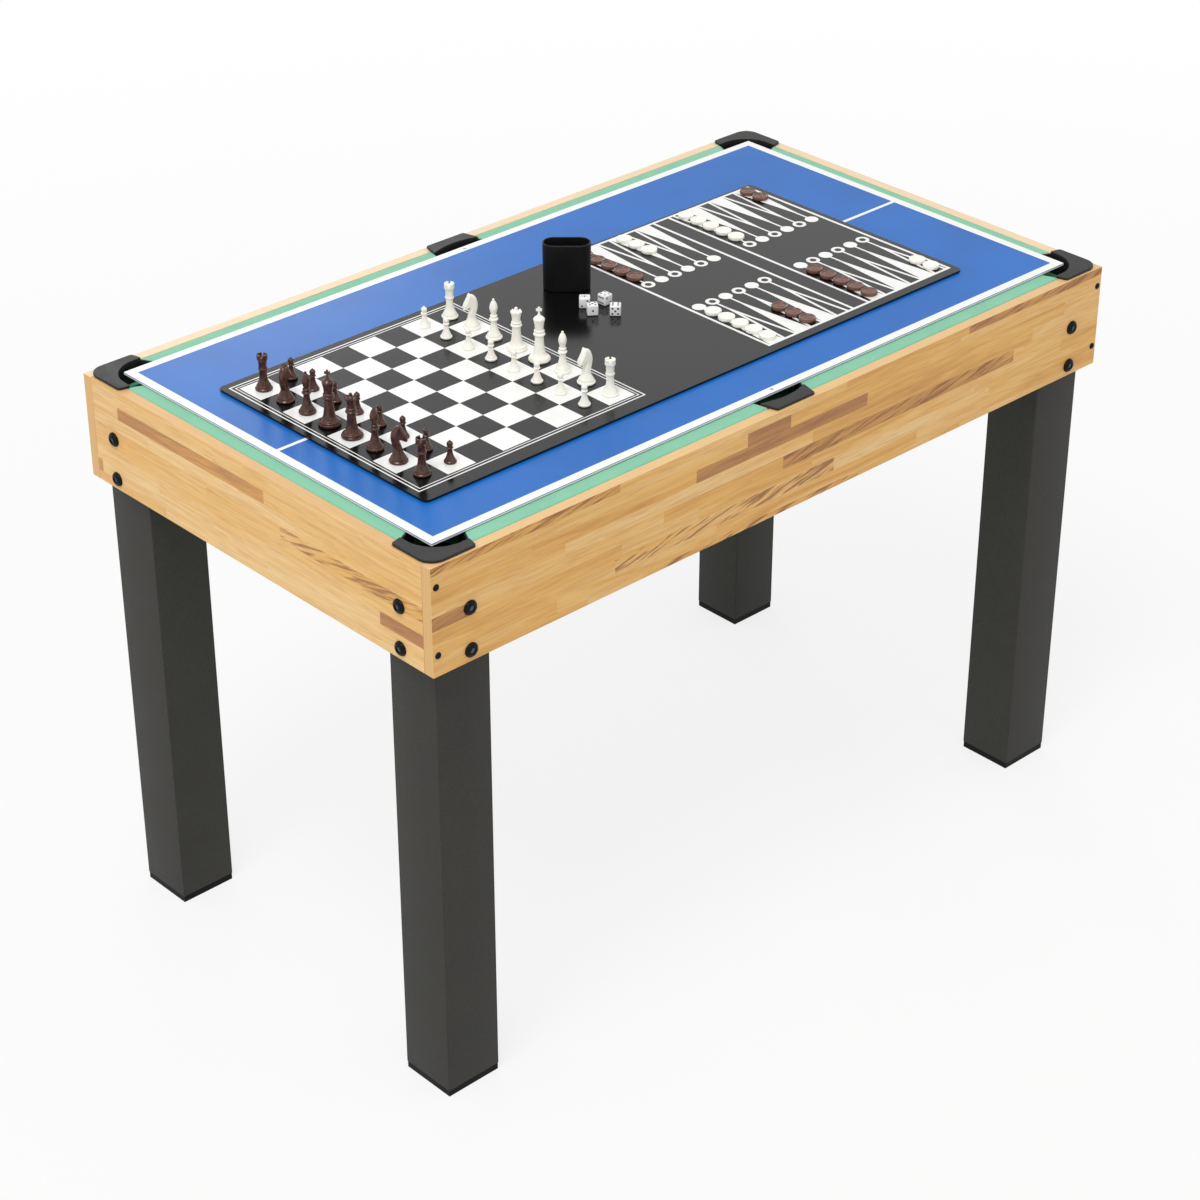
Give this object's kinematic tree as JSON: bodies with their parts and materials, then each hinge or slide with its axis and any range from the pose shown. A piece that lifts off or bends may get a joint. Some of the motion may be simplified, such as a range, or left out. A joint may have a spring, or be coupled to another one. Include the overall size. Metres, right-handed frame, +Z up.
{
  "type": "multi game table",
  "caption": "Free-standing pool table on square legs with a lift-off table tennis top, a lift-off chess and backgammon board, chessmen and a dice cup.",
  "frame": {"origin": "on the floor under the middle of the table", "axes": "+Z up, +X along the table, +Y across it; the chess field is towards -X and the side nearest the viewer in the picture is -Y"},
  "size_m": [1.2306, 0.7006, 0.8839],
  "materials": {
    "butcher_block": "satin",
    "bed_cloth": "matte",
    "cushion_cloth": "matte",
    "pocket_black": "satin",
    "leg_charcoal": "satin",
    "foot_black": "satin",
    "tennis_blue": "satin",
    "board_black": "gloss",
    "man_ivory": "satin",
    "man_brown": "satin",
    "cup_black": "satin"
  },
  "bodies": {
    "table": {"front_apron": "butcher_block", "back_apron": "butcher_block", "left_apron": "butcher_block", "right_apron": "butcher_block", "pool_bed": "bed_cloth", "front_left_cushion": "cushion_cloth", "front_right_cushion": "cushion_cloth", "back_left_cushion": "cushion_cloth", "back_right_cushion": "cushion_cloth", "left_cushion": "cushion_cloth", "right_cushion": "cushion_cloth", "front_left_pocket": "pocket_black", "front_right_pocket": "pocket_black", "back_left_pocket": "pocket_black", "back_right_pocket": "pocket_black", "front_side_pocket": "pocket_black", "back_side_pocket": "pocket_black", "front_left_leg": "leg_charcoal", "front_right_leg": "leg_charcoal", "back_left_leg": "leg_charcoal", "back_right_leg": "leg_charcoal", "front_left_foot": "foot_black", "front_right_foot": "foot_black", "back_left_foot": "foot_black", "back_right_foot": "foot_black"},
    "ping_pong_top": {"ping_pong_top": "tennis_blue"},
    "games_board": {"games_board": "board_black"},
    "dark_chessmen": {"dark_pawn_1": "man_brown", "dark_pawn_2": "man_brown", "dark_pawn_3": "man_brown", "dark_pawn_4": "man_brown", "dark_pawn_5": "man_brown", "dark_pawn_6": "man_brown", "dark_pawn_7": "man_brown", "dark_pawn_8": "man_brown", "dark_rook_1": "man_brown", "dark_rook_2": "man_brown", "dark_knight_1": "man_brown", "dark_knight_2": "man_brown", "dark_bishop_1": "man_brown", "dark_bishop_2": "man_brown", "dark_queen": "man_brown", "dark_king": "man_brown"},
    "light_chessmen": {"light_pawn_1": "man_ivory", "light_pawn_2": "man_ivory", "light_pawn_3": "man_ivory", "light_pawn_4": "man_ivory", "light_pawn_5": "man_ivory", "light_pawn_6": "man_ivory", "light_pawn_7": "man_ivory", "light_pawn_8": "man_ivory", "light_rook_1": "man_ivory", "light_rook_2": "man_ivory", "light_knight_1": "man_ivory", "light_knight_2": "man_ivory", "light_bishop_1": "man_ivory", "light_bishop_2": "man_ivory", "light_queen": "man_ivory", "light_king": "man_ivory"},
    "dice_cup": {"dice_cup": "cup_black"}
  },
  "joints": [
    {"name": "ping_pong_top_lift", "type": "slide", "parent": "table", "child": "ping_pong_top", "axis": [0, 0, 1], "range_m": [0, 0.3]},
    {"name": "games_board_lift", "type": "slide", "parent": "ping_pong_top", "child": "games_board", "axis": [0, 0, 1], "range_m": [0, 0.2]},
    {"name": "dark_chessmen_lift", "type": "slide", "parent": "games_board", "child": "dark_chessmen", "axis": [0, 0, 1], "range_m": [0, 0.1]},
    {"name": "light_chessmen_lift", "type": "slide", "parent": "games_board", "child": "light_chessmen", "axis": [0, 0, 1], "range_m": [0, 0.1]},
    {"name": "dice_cup_lift", "type": "slide", "parent": "games_board", "child": "dice_cup", "axis": [0, 0, 1], "range_m": [0, 0.15]}
  ]
}
